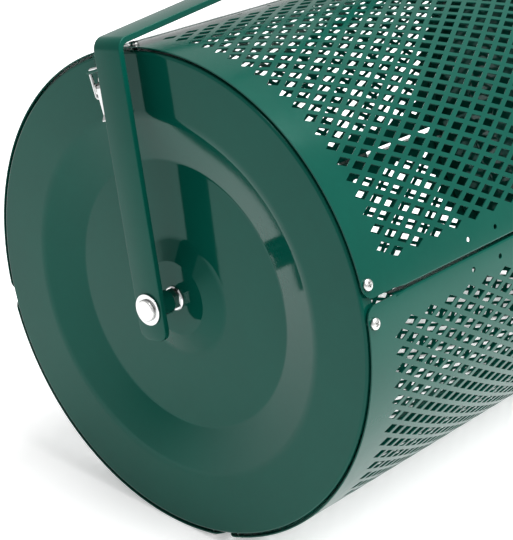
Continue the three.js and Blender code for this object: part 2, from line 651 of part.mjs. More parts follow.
function latchBail() {
  const w = BAIL_HALF_WIDTH;
  const at = ({ a, n }, b) => new THREE.Vector3(a, n, b);
  const wire = [-1, 1].flatMap((side) => [
    rod(BAIL_WIRE, at(BAIL_PIVOT, side * 4), at(BAIL_PIVOT, side * w), 10),
    rod(BAIL_WIRE, at(BAIL_PIVOT, side * w), at(BAIL_BAR, side * w), 10),
  ]);
  wire.push(rod(BAIL_WIRE, at(BAIL_BAR, -w), at(BAIL_BAR, w), 10));
  const elbows = [BAIL_PIVOT, BAIL_BAR].flatMap((place) =>
    [-w, w].map((b) => {
      const centre = at(place, b);
      return new THREE.SphereGeometry(BAIL_WIRE, 10, 6).translate(centre.x, centre.y, centre.z);
    }),
  );
  return latchPiece(join(...wire, ...elbows));
}
addPair('latch_bail', latchBail(), zinc);

// ---------------------------------------------------------------- origin at the bottom centre
const bounds = new THREE.Box3().setFromObject(drumFrame, true);
const middle = bounds.getCenter(new THREE.Vector3());
drumFrame.position.set(-middle.x, -middle.y, -bounds.min.z);

const group = new THREE.Group();
group.add(drumFrame);
group.updateMatrixWorld(true);

export default group;
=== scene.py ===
"""Looks of the rolling compost spreader: perforated drum, pressed end discs, flat-bar yoke and T handle.

Sizes are in millimetres about the middle of the drum's axle line: x along the drum, y to the back, z up.
`placed` turns them into the frame's metres.
"""

import math

import bmesh
import bpy
import numpy as np
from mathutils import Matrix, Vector, geometry, noise


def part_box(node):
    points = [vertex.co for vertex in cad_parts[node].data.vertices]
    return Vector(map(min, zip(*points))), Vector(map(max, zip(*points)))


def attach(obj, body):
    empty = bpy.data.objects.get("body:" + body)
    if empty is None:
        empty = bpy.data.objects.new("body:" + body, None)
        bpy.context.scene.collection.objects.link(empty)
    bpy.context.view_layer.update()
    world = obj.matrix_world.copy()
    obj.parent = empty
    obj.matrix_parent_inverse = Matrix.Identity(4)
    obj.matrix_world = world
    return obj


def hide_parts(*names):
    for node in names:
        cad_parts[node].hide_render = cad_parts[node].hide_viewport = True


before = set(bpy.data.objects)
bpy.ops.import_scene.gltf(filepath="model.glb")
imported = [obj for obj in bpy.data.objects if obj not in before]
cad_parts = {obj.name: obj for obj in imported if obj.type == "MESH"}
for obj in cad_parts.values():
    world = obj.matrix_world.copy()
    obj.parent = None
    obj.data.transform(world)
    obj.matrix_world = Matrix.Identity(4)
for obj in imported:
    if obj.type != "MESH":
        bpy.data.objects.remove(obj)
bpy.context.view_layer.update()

# ------------------------------------------------------------------ driving dimensions
DRUM_R = 200.0
DRUM_L = 610.0
HALF = DRUM_L / 2
SHEET = 1.0
SETBACK = 1.2
SEAM_GAP = 2.6
FIRST_SEAM = 164.5
QUARTER = math.pi / 2 * DRUM_R
LIP_FOOT = 189.0
LIP_BEND = 1.0
RELIEF_X = 36.0
RELIEF = 2.3
SLIT = 1.2
CORNER = 10.0

PITCH_X = 11.84
PITCH_S = 6.704
HOLE_X = 7.9
HOLE_S = 4.25
COLUMNS = 47
ROWS = 40

HINGE_X = 144.5
HINGE_SPREAD = 17.35
HINGE_HOLE = 2.1
HINGE_HOLE_EDGE = 11.7

LEAN = math.radians(79.2)
ARM_X = HALF + 20.5
BAR_W = 28.0
BAR_T = 5.0

_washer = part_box("axle_washer_left")
AXIS_Y = (_washer[0].y + _washer[1].y) / 2
AXIS_Z = (_washer[0].z + _washer[1].z) / 2

X = np.array([1.0, 0.0, 0.0])
Y = np.array([0.0, 1.0, 0.0])
Z = np.array([0.0, 0.0, 1.0])
UP = np.array([0.0, math.cos(LEAN), math.sin(LEAN)])
ACROSS = np.cross(UP, X)


def radial(angle):
    return np.array([0.0, math.cos(angle), math.sin(angle)])


def tangent(angle):
    return np.array([0.0, -math.sin(angle), math.cos(angle)])


SEAM = {
    "front": math.radians(FIRST_SEAM),
    "bottom": math.radians(FIRST_SEAM + 90),
    "hinge": math.radians(FIRST_SEAM + 180),
    "top": math.radians(FIRST_SEAM + 270),
}


def placed(points):
    """Millimetres about the axle line to metres in the frame."""
    return np.asarray(points, float).reshape(-1, 3) * 0.001 + np.array([0.0, AXIS_Y, AXIS_Z])


# ------------------------------------------------------------------ node helpers
def new_material(name):
    material = bpy.data.materials.new(name)
    material.use_nodes = True
    tree = material.node_tree
    tree.nodes.clear()
    out = tree.nodes.new("ShaderNodeOutputMaterial")
    shader = tree.nodes.new("ShaderNodeBsdfPrincipled")
    tree.links.new(shader.outputs["BSDF"], out.inputs["Surface"])
    coordinates = tree.nodes.new("ShaderNodeTexCoord")
    return material, tree, shader, coordinates.outputs["Object"]


def noise_node(tree, vector, scale, detail=3.0, roughness=0.5, stretch=None):
    if stretch is not None:
        mapping = tree.nodes.new("ShaderNodeMapping")
        mapping.inputs["Scale"].default_value = stretch
        tree.links.new(vector, mapping.inputs["Vector"])
        vector = mapping.outputs["Vector"]
    node = tree.nodes.new("ShaderNodeTexNoise")
    node.inputs["Scale"].default_value = scale
    node.inputs["Detail"].default_value = detail
    node.inputs["Roughness"].default_value = roughness
    tree.links.new(vector, node.inputs["Vector"])
    return node.outputs["Fac"]


def remap(tree, value, low, high, to_low, to_high):
    node = tree.nodes.new("ShaderNodeMapRange")
    node.inputs["From Min"].default_value = low
    node.inputs["From Max"].default_value = high
    node.inputs["To Min"].default_value = to_low
    node.inputs["To Max"].default_value = to_high
    tree.links.new(value, node.inputs["Value"])
    return node.outputs["Result"]


def ramp(tree, value, stops):
    node = tree.nodes.new("ShaderNodeValToRGB")
    while len(node.color_ramp.elements) < len(stops):
        node.color_ramp.elements.new(0.5)
    for element, (position, color) in zip(node.color_ramp.elements, stops):
        element.position = position
        element.color = (*color, 1.0)
    tree.links.new(value, node.inputs["Fac"])
    return node.outputs["Color"]


def mix_color(tree, factor, first, second):
    node = tree.nodes.new("ShaderNodeMix")
    node.data_type = "RGBA"
    for socket, value in ((node.inputs[0], factor), (node.inputs[6], first), (node.inputs[7], second)):
        if isinstance(value, bpy.types.NodeSocket):
            tree.links.new(value, socket)
        elif isinstance(value, float):
            socket.default_value = value
        else:
            socket.default_value = (*value, 1.0)
    return node.outputs[2]


def bumps(tree, shader, layers):
    """Stacked bump layers: (height, distance in metres, strength)."""
    last = None
    for height, distance, strength in layers:
        node = tree.nodes.new("ShaderNodeBump")
        node.inputs["Distance"].default_value = distance
        node.inputs["Strength"].default_value = strength
        tree.links.new(height, node.inputs["Height"])
        if last is not None:
            tree.links.new(last, node.inputs["Normal"])
        last = node.outputs["Normal"]
    tree.links.new(last, shader.inputs["Normal"])


def powder_coat(name, deep, light, rough, waviness, peel):
    """Gloss powder coat: slight mottling, orange peel and long waves of the pressed sheet below it."""
    material, tree, shader, where = new_material(name)
    mottle = noise_node(tree, where, 9.0, 4.0, 0.55)
    fine = noise_node(tree, where, 160.0, 3.0, 0.6)
    broad = ramp(tree, mottle, [(0.30, deep), (0.72, light)])
    speck = remap(tree, fine, 0.35, 0.75, 0.0, 0.12)
    color = mix_color(tree, speck, broad, tuple(c * 1.25 for c in light))
    tree.links.new(color, shader.inputs["Base Color"])
    smudge = noise_node(tree, where, 22.0, 5.0, 0.6)
    tree.links.new(remap(tree, smudge, 0.3, 0.75, rough * 0.8, rough * 1.35), shader.inputs["Roughness"])
    shader.inputs["Specular IOR Level"].default_value = GLOSS
    shader.inputs["Specular Tint"].default_value = (0.50, 1.0, 0.90, 1.0)
    wave = noise_node(tree, where, 7.0, 1.0, 0.4)
    orange = noise_node(tree, where, 420.0, 2.0, 0.5)
    bumps(tree, shader, [(wave, 0.004, waviness), (orange, 0.00012, peel)])
    return material


def plated(name, tint, rough, streak):
    """Bright zinc: fine random grain with soft cloudy patches."""
    material, tree, shader, where = new_material(name)
    cloud = noise_node(tree, where, 60.0, 3.0, 0.5)
    color = ramp(tree, cloud, [(0.25, tuple(c * 0.93 for c in tint)), (0.7, tint)])
    tree.links.new(color, shader.inputs["Base Color"])
    shader.inputs["Metallic"].default_value = 1.0
    grain = noise_node(tree, where, 900.0, 2.0, 0.5, stretch=(1.0, 1.0, 1.0 / streak))
    tree.links.new(remap(tree, grain, 0.3, 0.7, rough * 0.7, rough * 1.4), shader.inputs["Roughness"])
    bumps(tree, shader, [(grain, 0.00005, 0.25)])
    return material


def foam_material():
    """Closed-cell foam: pores, a matt skin and faint grey rubbed patches."""
    material, tree, shader, where = new_material("foam_black")
    rub = noise_node(tree, where, 30.0, 4.0, 0.6)
    color = ramp(tree, rub, [(0.3, (0.010, 0.010, 0.011)), (0.8, (0.030, 0.030, 0.032))])
    tree.links.new(color, shader.inputs["Base Color"])
    pores = tree.nodes.new("ShaderNodeTexVoronoi")
    pores.inputs["Scale"].default_value = 1400.0
    tree.links.new(where, pores.inputs["Vector"])
    tree.links.new(remap(tree, rub, 0.3, 0.8, 0.78, 0.95), shader.inputs["Roughness"])
    shader.inputs["Sheen Weight"].default_value = 0.25
    shader.inputs["Sheen Roughness"].default_value = 0.5
    lumps = noise_node(tree, where, 260.0, 3.0, 0.6)
    bumps(tree, shader, [(pores.outputs["Distance"], 0.0004, 0.8), (lumps, 0.0006, 0.35)])
    return material


def plastic_material():
    """Moulded black plastic with a fine spark-eroded grain."""
    material, tree, shader, where = new_material("plastic_black")
    tone = noise_node(tree, where, 60.0, 3.0, 0.5)
    tree.links.new(ramp(tree, tone, [(0.3, (0.012, 0.012, 0.013)), (0.8, (0.022, 0.022, 0.023))]),
                   shader.inputs["Base Color"])
    grain = noise_node(tree, where, 1500.0, 2.0, 0.6)
    tree.links.new(remap(tree, grain, 0.3, 0.7, 0.38, 0.55), shader.inputs["Roughness"])
    bumps(tree, shader, [(grain, 0.0001, 0.4)])
    return material


GLOSS = 0.20
GREEN_DEEP = (0.0007, 0.041, 0.029)
GREEN_LIGHT = (0.0010, 0.050, 0.035)
MATERIALS = {
    "sheet": powder_coat("green_sheet", GREEN_DEEP, GREEN_LIGHT, 0.20, 0.10, 0.30),
    "disc": powder_coat("green_disc", GREEN_DEEP, GREEN_LIGHT, 0.07, 0.12, 0.12),
    "bar": powder_coat("green_bar", GREEN_DEEP, GREEN_LIGHT, 0.16, 0.06, 0.25),
    "zinc": plated("zinc_plate", (0.60, 0.60, 0.59), 0.30, 4.0),
    "bright": plated("bright_plate", (0.60, 0.61, 0.61), 0.15, 1.0),
    "foam": foam_material(),
    "plastic": plastic_material(),
}


# ------------------------------------------------------------------ mesh helpers
def mesh_from(name, points, faces):
    mesh = bpy.data.meshes.new(name)
    mesh.from_pydata([tuple(p) for p in placed(points)], [], [tuple(int(i) for i in f) for f in faces])
    mesh.validate()
    return mesh


def outward(mesh):
    work = bmesh.new()
    work.from_mesh(mesh)
    bmesh.ops.remove_doubles(work, verts=work.verts, dist=2e-6)
    bmesh.ops.recalc_face_normals(work, faces=work.faces)
    work.to_mesh(mesh)
    work.free()


def shape(points, faces, name="shape"):
    """A temporary object for booleans."""
    mesh = mesh_from(name, points, faces)
    outward(mesh)
    item = bpy.data.objects.new(name, mesh)
    bpy.context.scene.collection.objects.link(item)
    return item


def combined(first, *others, operation="UNION"):
    """Exact boolean of temporary objects; the result is kept in the first one."""
    for other in others:
        modifier = first.modifiers.new("boolean", "BOOLEAN")
        modifier.operation = operation
        modifier.solver = "EXACT"
        modifier.object = other
    graph = bpy.context.evaluated_depsgraph_get()
    mesh = bpy.data.meshes.new_from_object(first.evaluated_get(graph))
    first.modifiers.clear()
    first.data = mesh
    for other in others:
        bpy.data.objects.remove(other)
    return first


def finished(item, name, body, look, replaced=(), bevel=0.4, smooth=35.0, segments=2):
    """Names a piece, gives it its finish, rounds its edges and lets it ride on its body."""
    item.name = name
    item.data.name = name
    item.data.materials.clear()
    item.data.materials.append(MATERIALS[look])
    item.data.polygons.foreach_set("use_smooth", [True] * len(item.data.polygons))
    if bevel:
        modifier = item.modifiers.new("edges", "BEVEL")
        modifier.width = bevel * 0.001
        modifier.segments = segments
        modifier.limit_method = "ANGLE"
        modifier.angle_limit = math.radians(smooth)
        weighted = item.modifiers.new("normals", "WEIGHTED_NORMAL")
        weighted.keep_sharp = True
    elif smooth:
        item.data.set_sharp_from_angle(angle=math.radians(smooth))
    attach(item, body)
    if replaced:
        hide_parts(*replaced)
    return item


def piece(name, parts, body, look, replaced=(), **options):
    """One piece from (points, faces)."""
    return finished(shape(*parts), name, body, look, replaced, **options)


def mirror(parts):
    points, faces = parts
    flipped = np.asarray(points, float).reshape(-1, 3) * np.array([-1.0, 1.0, 1.0])
    return flipped, [tuple(reversed(f)) for f in faces]


def pair(name, parts, body, look, replaced=True, **options):
    """The left piece and its mirror image; the body's name may end in SIDE."""
    made = []
    for side, version in (("left", parts), ("right", mirror(parts))):
        full = f"{name}_{side}"
        nodes = (full,) if replaced is True else tuple(f"{r}_{side}" for r in replaced or ())
        made.append(piece(full, version, body.replace("SIDE", side), look, nodes, **options))
    return made


def joined(*several):
    points, faces, offset = [], [], 0
    for p, f in several:
        p = np.asarray(p, float).reshape(-1, 3)
        points.append(p)
        faces += [tuple(i + offset for i in face) for face in f]
        offset += len(p)
    return np.vstack(points), faces


def basis(axis):
    axis = np.asarray(axis, float) / np.linalg.norm(axis)
    helper = Z if abs(axis[2]) < 0.9 else Y
    side = np.cross(helper, axis)
    side /= np.linalg.norm(side)
    return side, np.cross(axis, side)


def lathe(profile, origin, axis, segments=64, phase=0.0):
    """Turns (distance, radius) points about the axis. A profile off the axis closes on itself."""
    origin, axis = np.asarray(origin, float), np.asarray(axis, float)
    a, b = basis(axis)
    closed = profile[0] == profile[-1]
    rings = profile[:-1] if closed else profile
    points, index = [], []
    for distance, radius in rings:
        if radius < 1e-6:
            index.append([len(points)] * segments)
            points.append(origin + axis * distance)
            continue
        index.append(list(range(len(points), len(points) + segments)))
        for k in range(segments):
            t = phase + 2 * math.pi * k / segments
            points.append(origin + axis * distance + (a * math.cos(t) + b * math.sin(t)) * radius)
    faces = []
    count = len(rings)
    for i in range(count if closed else count - 1):
        low, high = index[i], index[(i + 1) % count]
        for k in range(segments):
            n = (k + 1) % segments
            face = []
            for v in (low[k], low[n], high[n], high[k]):
                if v not in face:
                    face.append(v)
            if len(face) > 2:
                faces.append(tuple(face))
    return np.array(points), faces


def ring(start, end, inner, outer):
    return [(start, inner), (start, outer), (end, outer), (end, inner), (start, inner)]


def solid_rod(start, end, radius):
    return [(start, 0.0), (start, radius), (end, radius), (end, 0.0)]


def prism(outline, thickness, origin, along, up, centred=False):
    """A flat outline in the plane of `along` and `up`, given thickness towards their cross product."""
    along, up, origin = (np.asarray(v, float) for v in (along, up, origin))
    out = np.cross(along, up)
    start = -thickness / 2 if centred else 0.0
    n = len(outline)
    points = [origin + along * x + up * y + out * z for z in (start, start + thickness) for x, y in outline]
    faces = [tuple(range(n))[::-1], tuple(range(n, 2 * n))]
    faces += [(k, (k + 1) % n, n + (k + 1) % n, n + k) for k in range(n)]
    return np.array(points), faces


def rounded(corners, radii, steps=5):
    """Rounds the corners of a closed outline."""
    out, n = [], len(corners)
    for i in range(n):
        here = np.array(corners[i], float)
        before = np.array(corners[i - 1], float) - here
        after = np.array(corners[(i + 1) % n], float) - here
        r = radii[i] if isinstance(radii, (list, tuple)) else radii
        if r <= 0:
            out.append(tuple(here))
            continue
        a, b = before / np.linalg.norm(before), after / np.linalg.norm(after)
        angle = math.acos(max(-1.0, min(1.0, float(a @ b))))
        cut = r / math.tan(angle / 2)
        centre = here + (a + b) / np.linalg.norm(a + b) * (r / math.sin(angle / 2))
        start, end = here + a * cut - centre, here + b * cut - centre
        turn = math.atan2(start[0] * end[1] - start[1] * end[0], start @ end)
        for k in range(steps + 1):
            t = turn * k / steps
            out.append(tuple(centre + np.array([start[0] * math.cos(t) - start[1] * math.sin(t),
                                                start[0] * math.sin(t) + start[1] * math.cos(t)])))
    return out


def bent_line(corners, radii, steps=8):
    """An open line with rounded inner corners, as (point, left normal) pairs."""
    corners = [np.array(c, float) for c in corners]
    heads = [(b - a) / np.linalg.norm(b - a) for a, b in zip(corners, corners[1:])]

    def left(d):
        return np.array([-d[1], d[0]])

    line = [(corners[0], left(heads[0]))]
    for i in range(1, len(corners) - 1):
        before, after, r = heads[i - 1], heads[i], radii[i - 1]
        turn = math.atan2(before[0] * after[1] - before[1] * after[0], before @ after)
        side = math.copysign(1.0, turn)
        start = corners[i] - before * r * math.tan(abs(turn) / 2)
        centre = start + left(before) * side * r
        for k in range(steps + 1):
            t = turn * k / steps
            n = left(before)
            n = np.array([n[0] * math.cos(t) - n[1] * math.sin(t), n[0] * math.sin(t) + n[1] * math.cos(t)])
            line.append((centre - n * side * r, n))
    line.append((corners[-1], left(heads[-1])))
    return line


def strip(line, a, b):
    return [tuple(p + n * a) for p, n in line] + [tuple(p + n * b) for p, n in reversed(line)]


def tube_path(corners, radius, bend, sides=16, steps=6):
    """A round wire along 3-D corners with rounded bends."""
    corners = [np.array(c, float) for c in corners]
    path = [corners[0]]
    for before, here, after in zip(corners, corners[1:], corners[2:]):
        a, b = before - here, after - here
        a, b = a / np.linalg.norm(a), b / np.linalg.norm(b)
        angle = math.acos(max(-1.0, min(1.0, float(a @ b))))
        cut = bend / math.tan(angle / 2)
        centre = here + (a + b) / np.linalg.norm(a + b) * (bend / math.sin(angle / 2))
        start, end = here + a * cut - centre, here + b * cut - centre
        for k in range(steps + 1):
            t = k / steps
            v = start * (1 - t) + end * t
            path.append(centre + v / np.linalg.norm(v) * bend)
    path.append(corners[-1])
    points, faces = [], []
    side = basis(path[1] - path[0])[0]
    for i, at in enumerate(path):
        ahead = path[min(i + 1, len(path) - 1)] - path[max(i - 1, 0)]
        ahead = ahead / np.linalg.norm(ahead)
        side = side - ahead * (side @ ahead)
        side /= np.linalg.norm(side)
        other = np.cross(ahead, side)
        for k in range(sides):
            t = 2 * math.pi * k / sides
            points.append(at + (side * math.cos(t) + other * math.sin(t)) * radius)
    for i in range(len(path) - 1):
        for k in range(sides):
            n = (k + 1) % sides
            faces.append((i * sides + k, i * sides + n, (i + 1) * sides + n, (i + 1) * sides + k))
    faces.append(tuple(range(sides))[::-1])
    faces.append(tuple(range((len(path) - 1) * sides, len(path) * sides)))
    return np.array(points), faces


def bead(origin, axis, radius, wire, ripples, segments=128):
    """A weld bead round a tube: a ring whose section swells and shrinks in ripples."""
    a, b = basis(axis)
    axis, origin = np.asarray(axis, float), np.asarray(origin, float)
    around, section = segments, 10
    points, faces = [], []
    for i in range(around):
        t = 2 * math.pi * i / around
        size = wire * (1.0 + 0.14 * math.sin(ripples * t) + 0.08 * math.sin(3.1 * t + 1.0))
        out = a * math.cos(t) + b * math.sin(t)
        for k in range(section):
            s = 2 * math.pi * k / section
            points.append(origin + out * (radius + size * math.cos(s)) + axis * size * math.sin(s))
    for i in range(around):
        for k in range(section):
            n, m = (k + 1) % section, (i + 1) % around
            faces.append((i * section + k, m * section + k, m * section + n, i * section + n))
    return np.array(points), faces


def hex_prism(start, end, across, origin, axis, phase=0.0, chamfer=0.8):
    r = across / math.sqrt(3)
    profile = [(start, 0.0), (start, r - chamfer), (start + chamfer * 0.5, r), (end - chamfer * 0.5, r),
               (end, r - chamfer), (end, 0.0)]
    return lathe(profile, origin, axis, 6, phase)


# ------------------------------------------------------------------ sheet metal with holes
def inside_outline(points, outline):
    x, y = points[:, 0], points[:, 1]
    inside = np.zeros(len(points), bool)
    for (x0, y0), (x1, y1) in zip(outline, outline[1:] + outline[:1]):
        crosses = (y0 > y) != (y1 > y)
        with np.errstate(divide="ignore", invalid="ignore"):
            at = (x1 - x0) * (y - y0) / (y1 - y0) + x0
        inside ^= crosses & (x < at)
    return inside


def dense(outline, step):
    """Adds points so that no edge of the outline is much longer than the step."""
    out = []
    for a, b in zip(outline, outline[1:] + outline[:1]):
        count = max(1, round(math.dist(a, b) / step))
        out += [(a[0] + (b[0] - a[0]) * k / count, a[1] + (b[1] - a[1]) * k / count) for k in range(count)]
    return out


def flat_sheet(outline, holes, extra, in_hole):
    """Triangulates a flat outline with holes. Returns points and triangles, counter-clockwise."""
    points = [Vector(p) for p in outline]
    edges = [(k, (k + 1) % len(outline)) for k in range(len(outline))]
    for hole in holes:
        first = len(points)
        points += [Vector(p) for p in hole]
        edges += [(first + k, first + (k + 1) % len(hole)) for k in range(len(hole))]
    points += [Vector(p) for p in extra]
    made = geometry.delaunay_2d_cdt(points, edges, [], 0, 1e-5, False)
    flat = np.array([tuple(p) for p in made[0]])
    tri = np.array([f for f in made[2] if len(f) == 3])
    a, b, c = flat[tri[:, 0]], flat[tri[:, 1]], flat[tri[:, 2]]
    area = (b[:, 0] - a[:, 0]) * (c[:, 1] - a[:, 1]) - (b[:, 1] - a[:, 1]) * (c[:, 0] - a[:, 0])
    tri[area < 0] = tri[area < 0][:, ::-1]
    middle = (a + b + c) / 3
    keep = inside_outline(middle, outline) & ~in_hole(middle) & (np.abs(area) > 1e-4)
    tri = tri[keep]
    used = np.unique(tri)
    lookup = np.full(len(flat), -1)
    lookup[used] = np.arange(len(used))
    return flat[used], lookup[tri]


def thick_sheet(name, flat, tri, mapping, thickness):
    """Bends a flat triangulation through the mapping and gives it thickness, with exact smooth normals."""
    place = [mapping(u, v) for u, v in flat]
    middle = np.array([p for p, _ in place])
    normal = np.array([n for _, n in place])
    count = len(flat)
    points = np.vstack([middle + normal * thickness / 2, middle - normal * thickness / 2])
    directed = {}
    for t in tri:
        for k in range(3):
            directed[(t[k], t[(k + 1) % 3])] = True
    rim = [e for e in directed if (e[1], e[0]) not in directed]
    faces = [(t[0], t[2], t[1]) for t in tri] + [(t[0] + count, t[1] + count, t[2] + count) for t in tri]
    faces += [(a, b, b + count, a + count) for a, b in rim]
    mesh = mesh_from(name, points, faces)
    loops = []
    for polygon in mesh.polygons:
        corners = list(polygon.vertices)
        if max(corners) < count:
            loops += [tuple(normal[v]) for v in corners]
        elif min(corners) >= count:
            loops += [tuple(-normal[v - count]) for v in corners]
        else:
            flat_normal = tuple(polygon.normal)
            loops += [flat_normal] * len(corners)
    mesh.polygons.foreach_set("use_smooth", [True] * len(mesh.polygons))
    mesh.normals_split_custom_set(loops)
    return mesh


def circle(centre, radius, sides=16):
    return [(centre[0] + radius * math.cos(2 * math.pi * k / sides),
             centre[1] + radius * math.sin(2 * math.pi * k / sides)) for k in range(sides)]


PANEL_TOP = QUARTER - SEAM_GAP / 2
BEND_START = PANEL_TOP - 1.5
BEND_LENGTH = math.pi / 2 * LIP_BEND
LIP_END = BEND_START + BEND_LENGTH + (DRUM_R - SHEET / 2 - LIP_BEND - LIP_FOOT)
LOW_BEND = QUARTER - BEND_START
LOW_END = QUARTER - LIP_END


def panel_flat(first_column, first_row, parity, low_lip=True):
    """The flat pattern of a quarter panel: u along the drum from its left face, v round it from the seam."""
    low, high = SEAM_GAP / 2, PANEL_TOP - RELIEF
    left, right = SETBACK, DRUM_L - SETBACK
    notch = LOW_BEND + 0.4
    corners = [(left, low), (RELIEF_X - SLIT, low), (RELIEF_X - SLIT, notch), (RELIEF_X, notch),
               (RELIEF_X, LOW_END), (DRUM_L - RELIEF_X, LOW_END), (DRUM_L - RELIEF_X, notch),
               (DRUM_L - RELIEF_X + SLIT, notch), (DRUM_L - RELIEF_X + SLIT, low), (right, low),
               (right, high), (DRUM_L - RELIEF_X, high), (DRUM_L - RELIEF_X, LIP_END),
               (RELIEF_X, LIP_END), (RELIEF_X, high), (left, high)]
    radii = [CORNER, 0.6, 0, 0, 2.5, 2.5, 0, 0, 0.6, CORNER, CORNER, 0, 2.5, 2.5, 0, CORNER]
    if not low_lip:
        corners, radii = corners[:1] + corners[9:], radii[:1] + radii[9:]
    outline = dense(rounded(corners, radii, 7), PITCH_S)

    def is_hole(i, j):
        return 0 <= i < COLUMNS and 0 <= j < ROWS and (i + j) % 2 == parity

    holes, extra = [], []
    for i in range(-3, COLUMNS + 3):
        for j in range(-4, ROWS + 4):
            u, v = first_column + i * PITCH_X, first_row + j * PITCH_S
            if is_hole(i, j):
                holes.append([(u + HOLE_X, v), (u, v + HOLE_S), (u - HOLE_X, v), (u, v - HOLE_S)])
                continue
            near = any(is_hole(i + a, j + b) for a, b in ((1, 0), (-1, 0), (0, 1), (0, -1)))
            if not near and left + 3 < u < right - 3 and LOW_BEND + 3 < v < BEND_START - 3:
                extra.append((u, v))
    small = [(x + side, edge) for x in (HINGE_X, DRUM_L - HINGE_X) for side in (-HINGE_SPREAD, HINGE_SPREAD)
             for edge in (HINGE_HOLE_EDGE, QUARTER - HINGE_HOLE_EDGE)]
    holes += [circle(c, HINGE_HOLE) for c in small]
    extra = [e for e in extra if all(math.dist(e, c) > HINGE_HOLE + 2 for c in small)]
    for k in range(6):
        bends = [BEND_START + BEND_LENGTH * k / 5] + [LOW_BEND - BEND_LENGTH * k / 5] * low_lip
        for v in bends:
            extra += [(RELIEF_X + (DRUM_L - 2 * RELIEF_X) * n / 46, v) for n in range(1, 46)]
    keep = inside_outline(np.array(extra), outline)
    extra = [e for e, good in zip(extra, keep) if good]

    def in_hole(points):
        a = (points[:, 0] - first_column) / PITCH_X
        b = (points[:, 1] - first_row) / PITCH_S
        hit = np.zeros(len(points), bool)
        for di in (0, 1):
            for dj in (0, 1):
                i, j = np.floor(a) + di, np.floor(b) + dj
                real = (i >= 0) & (i < COLUMNS) & (j >= 0) & (j < ROWS) & ((i + j) % 2 == parity)
                reach = np.abs(a - i) * PITCH_X / HOLE_X + np.abs(b - j) * PITCH_S / HOLE_S
                hit |= real & (reach < 0.999)
        for c in small:
            hit |= np.hypot(points[:, 0] - c[0], points[:, 1] - c[1]) < HINGE_HOLE * 0.97
        return hit

    return flat_sheet(outline, holes, extra, in_hole)


def panel_map(seam, low_lip=True):
    """Flat pattern to the drum: round the drum, over the bend and down the inturned lip."""
    def mapping(u, v):
        x = X * (u - HALF)
        inside = min(max(v, LOW_BEND) if low_lip else v, BEND_START)
        out, along = radial(seam + inside / DRUM_R), tangent(seam + inside / DRUM_R)
        past = abs(v - inside)
        if past == 0 or min(u, DRUM_L - u) < RELIEF_X - SLIT / 2:
            out = radial(seam + v / DRUM_R)
            return x + out * (DRUM_R - SHEET / 2), out
        turn = min(past / LIP_BEND, math.pi / 2)
        n = out * math.cos(turn) + along * math.copysign(math.sin(turn), v - inside)
        down = max(0.0, past - BEND_LENGTH)
        return x + out * (DRUM_R - SHEET / 2 - LIP_BEND - down) + n * LIP_BEND, n

    return mapping


# each sheet was punched with the pattern a little out of place: first column, first row, parity
PANELS = (
    ("front_upper_panel", SEAM["top"], (34.5, 25.4, 0), "drum"),
    ("front_lower_panel", SEAM["front"], (36.4, 25.4, 1), "drum"),
    ("rear_lower_panel", SEAM["bottom"], (34.0, 28.0, 1), "drum"),
    ("door_panel", SEAM["hinge"], (32.6, 24.2, 0), "door"),
)
for panel_name, seam_angle, pattern, panel_body in PANELS:
    lipped = panel_body == "drum"  # a lip on the door's hinged edge would swing into the yoke
    sheet_mesh = thick_sheet(panel_name, *panel_flat(*pattern, lipped), panel_map(seam_angle, lipped), SHEET)
    panel = bpy.data.objects.new(panel_name, sheet_mesh)
    bpy.context.scene.collection.objects.link(panel)
    sheet_mesh.materials.append(MATERIALS["sheet"])
    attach(panel, panel_body)
    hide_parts(panel_name)

# ------------------------------------------------------------------ end discs
LEFT = np.array([-HALF, 0.0, 0.0])
BOSS = 5.5
FLANGE_R = 196.8
disc_line = bent_line(
    [(BOSS, 9), (BOSS, 30.2), (11.45, 48), (12.3, 110.3), (0, 147.9), (0, FLANGE_R), (11.5, FLANGE_R)],
    [2.8, 15.8, 7.7, 24.6, 2.4], 12)
disc_profile = strip(disc_line, 0.0, -1.4)
disc_parts = lathe(disc_profile + disc_profile[:1], LEFT, X, 240)
pair("end_disc", disc_parts, "drum", "disc", bevel=0.25, smooth=50.0)


def screw_angles(seam):
    inset = (SEAM_GAP / 2 + 13) / DRUM_R
    return seam + inset, seam + math.pi / 2 - inset


FIXED = (("front_upper", SEAM["top"]), ("front_lower", SEAM["front"]), ("rear_lower", SEAM["bottom"]))
nut_parts = joined(*[
    hex_prism(190.6, 195.2, 8.0, X * (7 - HALF), radial(a)) for _, seam in FIXED for a in screw_angles(seam)])
pair("weld_nuts", nut_parts, "drum", "zinc", replaced=None, bevel=0)


# ------------------------------------------------------------------ panel screws
HEAD_R = 4.4  # a little smaller than the solid it stands for, to the size seen


def pan_head():
    """A pan head with a cross recess, standing on z = 0."""
    dome = [(0.0, 0.0), (0.0, HEAD_R), (1.0, HEAD_R)]
    dome += [(1.0 + 1.6 * math.sin(t), HEAD_R - 2.7 * (1 - math.cos(t))) for t in np.linspace(0.15, 1.5, 9)]
    dome.append((2.62, 0.0))
    head = shape(*lathe(dome, (0, 0, 0), Z, 40))
    cutters = []
    for turn in (0.0, math.pi / 2):
        along = np.array([math.cos(turn), math.sin(turn), 0.0])
        outline = [(-2.7, 3.2), (-1.1, 0.35), (1.1, 0.35), (2.7, 3.2)]
        cutters.append(shape(*prism(outline, 1.35, (0, 0, 0), along, Z, centred=True)))
    return combined(head, *cutters, operation="DIFFERENCE")


head_mesh = pan_head()
head_points = np.array([tuple(v.co) for v in head_mesh.data.vertices])
head_points = (head_points - np.array([0.0, AXIS_Y, AXIS_Z])) * 1000
head_faces = [tuple(p.vertices) for p in head_mesh.data.polygons]
bpy.data.objects.remove(head_mesh)


